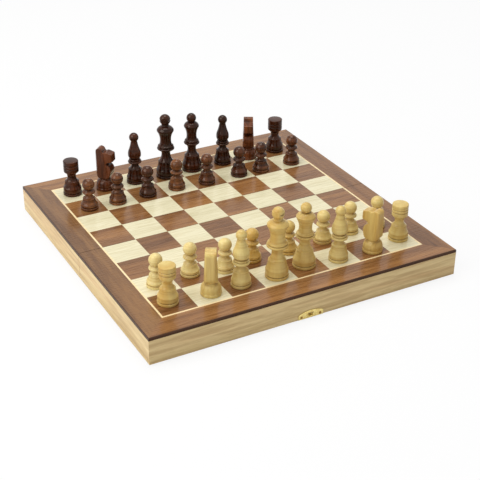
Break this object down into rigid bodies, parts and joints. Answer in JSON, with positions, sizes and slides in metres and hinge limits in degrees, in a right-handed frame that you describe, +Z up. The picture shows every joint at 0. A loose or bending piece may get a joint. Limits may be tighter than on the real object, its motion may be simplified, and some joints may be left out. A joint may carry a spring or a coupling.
{
  "type": "folding chess set",
  "caption": "Folding wooden chess box lying open with its inlaid board up, brass hinges and clasp, and turned and carved pieces in two colours standing on it.",
  "frame": {"origin": "on the table under the middle of the fold, at the foot of the hinge barrels", "axes": "+X to the right along the fold and the ranks, +Y from the light side to the dark side, +Z up out of the playing surface"},
  "size_m": [0.284, 0.2874, 0.0876],
  "materials": {
    "pale_wood": "satin lacquer",
    "panel_edge": "dark stained edge",
    "walnut_veneer": "gloss lacquer",
    "maple_veneer": "gloss lacquer",
    "string_veneer": "gloss lacquer",
    "light_piece_wood": "gloss lacquer",
    "dark_piece_wood": "gloss lacquer",
    "brass": "bright stamped brass"
  },
  "bodies": {
    "front_half": {"front_wall": "pale_wood", "front_spine_wall": "pale_wood", "front_left_wall": "pale_wood", "front_right_wall": "pale_wood", "front_panel": "panel_edge", "front_border": "walnut_veneer", "front_string": "string_veneer", "front_light_squares": "maple_veneer", "front_dark_squares": "walnut_veneer", "front_hinge_leaves": "brass", "front_nails": "brass", "hinge_pins": "brass", "catch_plate": "brass"},
    "back_half": {"back_wall": "pale_wood", "back_spine_wall": "pale_wood", "back_left_wall": "pale_wood", "back_right_wall": "pale_wood", "back_panel": "panel_edge", "back_border": "walnut_veneer", "back_string": "string_veneer", "back_light_squares": "maple_veneer", "back_dark_squares": "walnut_veneer", "back_hinge_leaves": "brass", "back_nails": "brass", "hasp_plate": "brass", "hasp_pin": "brass"},
    "hasp": {"hasp_loop": "brass"},
    "light_rook_a_piece": {"light_rook_a": "light_piece_wood"},
    "light_knight_b_piece": {"light_knight_b": "light_piece_wood"},
    "light_bishop_c_piece": {"light_bishop_c": "light_piece_wood"},
    "light_king_d_piece": {"light_king_d": "light_piece_wood"},
    "light_queen_e_piece": {"light_queen_e": "light_piece_wood"},
    "light_bishop_f_piece": {"light_bishop_f": "light_piece_wood"},
    "light_knight_g_piece": {"light_knight_g": "light_piece_wood"},
    "light_rook_h_piece": {"light_rook_h": "light_piece_wood"},
    "light_pawn_a_piece": {"light_pawn_a": "light_piece_wood"},
    "light_pawn_b_piece": {"light_pawn_b": "light_piece_wood"},
    "light_pawn_c_piece": {"light_pawn_c": "light_piece_wood"},
    "light_pawn_d_piece": {"light_pawn_d": "light_piece_wood"},
    "light_pawn_e_piece": {"light_pawn_e": "light_piece_wood"},
    "light_pawn_f_piece": {"light_pawn_f": "light_piece_wood"},
    "light_pawn_g_piece": {"light_pawn_g": "light_piece_wood"},
    "light_pawn_h_piece": {"light_pawn_h": "light_piece_wood"},
    "dark_rook_a_piece": {"dark_rook_a": "dark_piece_wood"},
    "dark_knight_b_piece": {"dark_knight_b": "dark_piece_wood"},
    "dark_bishop_c_piece": {"dark_bishop_c": "dark_piece_wood"},
    "dark_king_d_piece": {"dark_king_d": "dark_piece_wood"},
    "dark_queen_e_piece": {"dark_queen_e": "dark_piece_wood"},
    "dark_bishop_f_piece": {"dark_bishop_f": "dark_piece_wood"},
    "dark_knight_g_piece": {"dark_knight_g": "dark_piece_wood"},
    "dark_rook_h_piece": {"dark_rook_h": "dark_piece_wood"},
    "dark_pawn_a_piece": {"dark_pawn_a": "dark_piece_wood"},
    "dark_pawn_b_piece": {"dark_pawn_b": "dark_piece_wood"},
    "dark_pawn_c_piece": {"dark_pawn_c": "dark_piece_wood"},
    "dark_pawn_d_piece": {"dark_pawn_d": "dark_piece_wood"},
    "dark_pawn_e_piece": {"dark_pawn_e": "dark_piece_wood"},
    "dark_pawn_f_piece": {"dark_pawn_f": "dark_piece_wood"},
    "dark_pawn_g_piece": {"dark_pawn_g": "dark_piece_wood"},
    "dark_pawn_h_piece": {"dark_pawn_h": "dark_piece_wood"}
  },
  "joints": [
    {"name": "board_fold", "type": "hinge", "parent": "front_half", "child": "back_half", "pos_m": [0, 0, 0.0011], "axis": [-1, 0, 0], "range_deg": [0, 180]},
    {"name": "hasp_swing", "type": "hinge", "parent": "back_half", "child": "hasp", "pos_m": [-0.001, 0.1427, 0.0027], "axis": [-1, 0, 0], "range_deg": [0, 180]},
    {"name": "light_rook_a_lift", "type": "slide", "parent": "front_half", "child": "light_rook_a_piece", "axis": [0, 0, 1], "range_m": [0, 0.08]},
    {"name": "light_knight_b_lift", "type": "slide", "parent": "front_half", "child": "light_knight_b_piece", "axis": [0, 0, 1], "range_m": [0, 0.08]},
    {"name": "light_bishop_c_lift", "type": "slide", "parent": "front_half", "child": "light_bishop_c_piece", "axis": [0, 0, 1], "range_m": [0, 0.08]},
    {"name": "light_king_d_lift", "type": "slide", "parent": "front_half", "child": "light_king_d_piece", "axis": [0, 0, 1], "range_m": [0, 0.08]},
    {"name": "light_queen_e_lift", "type": "slide", "parent": "front_half", "child": "light_queen_e_piece", "axis": [0, 0, 1], "range_m": [0, 0.08]},
    {"name": "light_bishop_f_lift", "type": "slide", "parent": "front_half", "child": "light_bishop_f_piece", "axis": [0, 0, 1], "range_m": [0, 0.08]},
    {"name": "light_knight_g_lift", "type": "slide", "parent": "front_half", "child": "light_knight_g_piece", "axis": [0, 0, 1], "range_m": [0, 0.08]},
    {"name": "light_rook_h_lift", "type": "slide", "parent": "front_half", "child": "light_rook_h_piece", "axis": [0, 0, 1], "range_m": [0, 0.08]},
    {"name": "light_pawn_a_lift", "type": "slide", "parent": "front_half", "child": "light_pawn_a_piece", "axis": [0, 0, 1], "range_m": [0, 0.08]},
    {"name": "light_pawn_b_lift", "type": "slide", "parent": "front_half", "child": "light_pawn_b_piece", "axis": [0, 0, 1], "range_m": [0, 0.08]},
    {"name": "light_pawn_c_lift", "type": "slide", "parent": "front_half", "child": "light_pawn_c_piece", "axis": [0, 0, 1], "range_m": [0, 0.08]},
    {"name": "light_pawn_d_lift", "type": "slide", "parent": "front_half", "child": "light_pawn_d_piece", "axis": [0, 0, 1], "range_m": [0, 0.08]},
    {"name": "light_pawn_e_lift", "type": "slide", "parent": "front_half", "child": "light_pawn_e_piece", "axis": [0, 0, 1], "range_m": [0, 0.08]},
    {"name": "light_pawn_f_lift", "type": "slide", "parent": "front_half", "child": "light_pawn_f_piece", "axis": [0, 0, 1], "range_m": [0, 0.08]},
    {"name": "light_pawn_g_lift", "type": "slide", "parent": "front_half", "child": "light_pawn_g_piece", "axis": [0, 0, 1], "range_m": [0, 0.08]},
    {"name": "light_pawn_h_lift", "type": "slide", "parent": "front_half", "child": "light_pawn_h_piece", "axis": [0, 0, 1], "range_m": [0, 0.08]},
    {"name": "dark_rook_a_lift", "type": "slide", "parent": "back_half", "child": "dark_rook_a_piece", "axis": [0, 0, 1], "range_m": [0, 0.08]},
    {"name": "dark_knight_b_lift", "type": "slide", "parent": "back_half", "child": "dark_knight_b_piece", "axis": [0, 0, 1], "range_m": [0, 0.08]},
    {"name": "dark_bishop_c_lift", "type": "slide", "parent": "back_half", "child": "dark_bishop_c_piece", "axis": [0, 0, 1], "range_m": [0, 0.08]},
    {"name": "dark_king_d_lift", "type": "slide", "parent": "back_half", "child": "dark_king_d_piece", "axis": [0, 0, 1], "range_m": [0, 0.08]},
    {"name": "dark_queen_e_lift", "type": "slide", "parent": "back_half", "child": "dark_queen_e_piece", "axis": [0, 0, 1], "range_m": [0, 0.08]},
    {"name": "dark_bishop_f_lift", "type": "slide", "parent": "back_half", "child": "dark_bishop_f_piece", "axis": [0, 0, 1], "range_m": [0, 0.08]},
    {"name": "dark_knight_g_lift", "type": "slide", "parent": "back_half", "child": "dark_knight_g_piece", "axis": [0, 0, 1], "range_m": [0, 0.08]},
    {"name": "dark_rook_h_lift", "type": "slide", "parent": "back_half", "child": "dark_rook_h_piece", "axis": [0, 0, 1], "range_m": [0, 0.08]},
    {"name": "dark_pawn_a_lift", "type": "slide", "parent": "back_half", "child": "dark_pawn_a_piece", "axis": [0, 0, 1], "range_m": [0, 0.08]},
    {"name": "dark_pawn_b_lift", "type": "slide", "parent": "back_half", "child": "dark_pawn_b_piece", "axis": [0, 0, 1], "range_m": [0, 0.08]},
    {"name": "dark_pawn_c_lift", "type": "slide", "parent": "back_half", "child": "dark_pawn_c_piece", "axis": [0, 0, 1], "range_m": [0, 0.08]},
    {"name": "dark_pawn_d_lift", "type": "slide", "parent": "back_half", "child": "dark_pawn_d_piece", "axis": [0, 0, 1], "range_m": [0, 0.08]},
    {"name": "dark_pawn_e_lift", "type": "slide", "parent": "back_half", "child": "dark_pawn_e_piece", "axis": [0, 0, 1], "range_m": [0, 0.08]},
    {"name": "dark_pawn_f_lift", "type": "slide", "parent": "back_half", "child": "dark_pawn_f_piece", "axis": [0, 0, 1], "range_m": [0, 0.08]},
    {"name": "dark_pawn_g_lift", "type": "slide", "parent": "back_half", "child": "dark_pawn_g_piece", "axis": [0, 0, 1], "range_m": [0, 0.08]},
    {"name": "dark_pawn_h_lift", "type": "slide", "parent": "back_half", "child": "dark_pawn_h_piece", "axis": [0, 0, 1], "range_m": [0, 0.08]}
  ]
}
